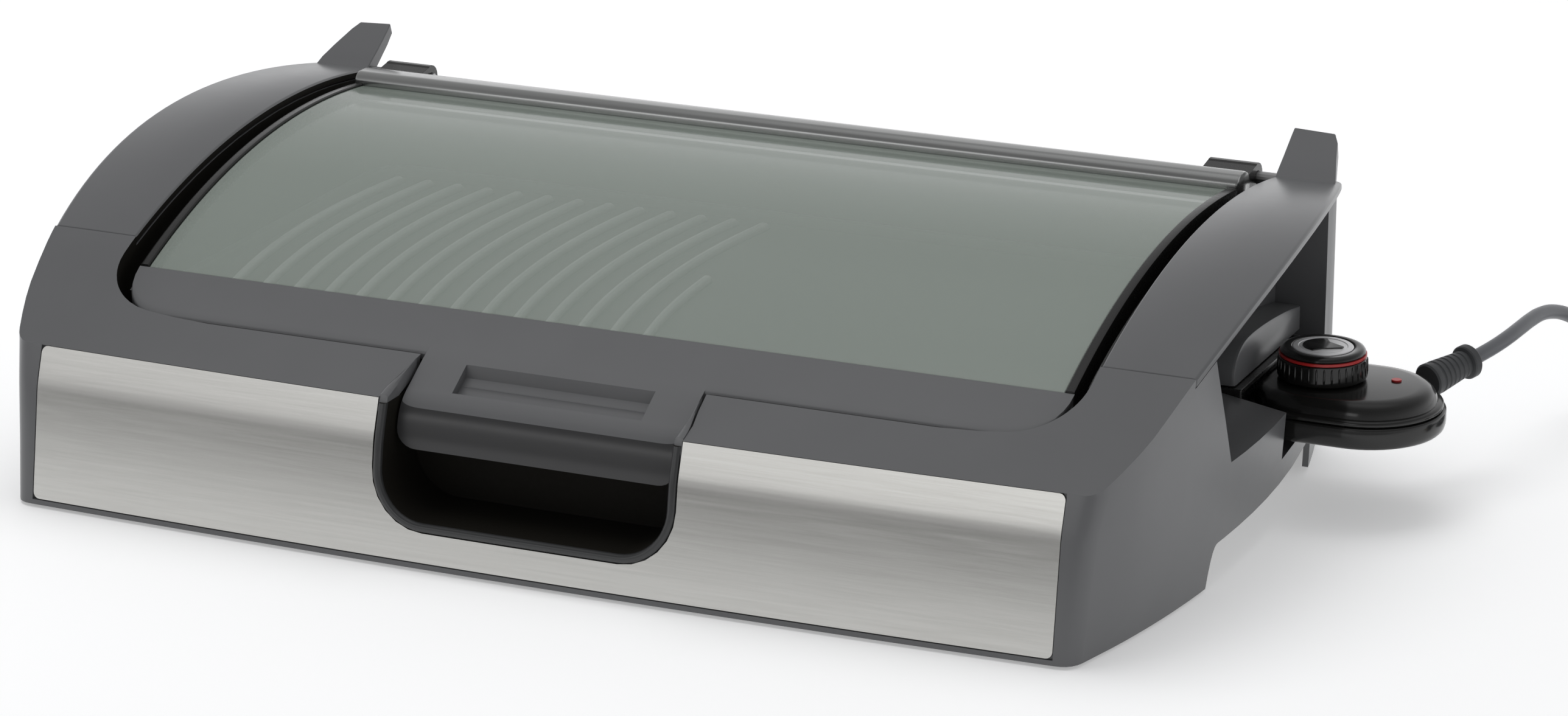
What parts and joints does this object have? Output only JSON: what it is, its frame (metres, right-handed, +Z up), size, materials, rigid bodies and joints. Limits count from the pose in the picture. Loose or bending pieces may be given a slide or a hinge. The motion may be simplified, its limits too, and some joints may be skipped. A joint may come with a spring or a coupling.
{
  "type": "electric griddle",
  "caption": "Table-top electric griddle with a hinged curved glass lid, part-ribbed cast plate, steel front panel and plug-in thermostat control on a cord.",
  "frame": {"origin": "on the table under the centre of the griddle and its control, without the mains cord set", "axes": "+X to the griddle's right, where the control plugs in; +Y from the front panel to the rear hinge; +Z up"},
  "size_m": [0.7813, 0.4535, 0.149],
  "materials": {
    "housing_plastic": "satin moulded grey plastic with a fine eroded texture",
    "lid_plastic": "satin moulded grey plastic",
    "black_plastic": "satin black heat resistant plastic",
    "front_steel": "brushed stainless sheet, grain along the width",
    "sheet_steel": "plain coated sheet steel",
    "plate_coating": "cast aluminium with a dark non-stick coating",
    "lid_glass": "toughened glass with a grey green tint",
    "rubber": "matt dark grey rubber",
    "red_plastic": "gloss red",
    "dial_metal": "satin aluminium",
    "contact_metal": "plain brass"
  },
  "bodies": {
    "base": {"base_housing": "housing_plastic", "side_arch_left": "housing_plastic", "side_arch_right": "housing_plastic", "front_panel": "front_steel", "finger_well": "black_plastic", "base_pan": "sheet_steel", "reflector_pan": "sheet_steel", "grill_plate": "plate_coating", "heating_element": "sheet_steel", "probe_block": "sheet_steel", "socket_shroud": "black_plastic", "hinge_pin_left": "sheet_steel", "hinge_pin_right": "sheet_steel", "terminal_pin_front": "contact_metal", "terminal_pin_rear": "contact_metal", "foot_front_left": "rubber", "foot_screw_front_left": "sheet_steel", "foot_front_right": "rubber", "foot_screw_front_right": "sheet_steel", "foot_rear_left": "rubber", "foot_screw_rear_left": "sheet_steel", "foot_rear_right": "rubber", "foot_screw_rear_right": "sheet_steel"},
    "lid": {"lid_front_frame": "lid_plastic", "lid_glass": "lid_glass", "lid_rear_rail": "lid_plastic", "lid_side_frame_left": "black_plastic", "lid_side_frame_right": "black_plastic", "hinge_arm_left": "black_plastic", "hinge_arm_right": "black_plastic", "lid_bumper_left": "rubber", "lid_bumper_right": "rubber"},
    "control": {"control_lower_shell": "black_plastic", "control_upper_shell": "black_plastic", "control_nose": "black_plastic", "temperature_probe": "sheet_steel", "switch_unit": "sheet_steel", "indicator_lens": "red_plastic", "contact_sleeve_front": "contact_metal", "contact_sleeve_rear": "contact_metal", "strain_relief": "rubber", "mains_cord": "rubber", "cord_coil": "rubber", "cord_tail": "rubber", "cord_tie": "black_plastic", "plug_body": "rubber", "plug_pin_left": "contact_metal", "plug_pin_right": "contact_metal"},
    "dial": {"knob": "black_plastic", "knob_ring": "red_plastic", "knob_disc": "dial_metal", "knob_shaft": "sheet_steel"}
  },
  "joints": [
    {"name": "lid_hinge", "type": "hinge", "parent": "base", "child": "lid", "pos_m": [-0.02806, 0.14775, 0.129], "axis": [-1, 0, 0], "range_deg": [0, 100]},
    {"name": "control_unplug", "type": "slide", "parent": "base", "child": "control", "axis": [1, 0, 0], "range_m": [0, 0.13]},
    {"name": "knob_turn", "type": "hinge", "parent": "control", "child": "dial", "pos_m": [0.25794, 0.08075, 0.066], "axis": [0, 0, -1], "range_deg": [0, 270]}
  ]
}
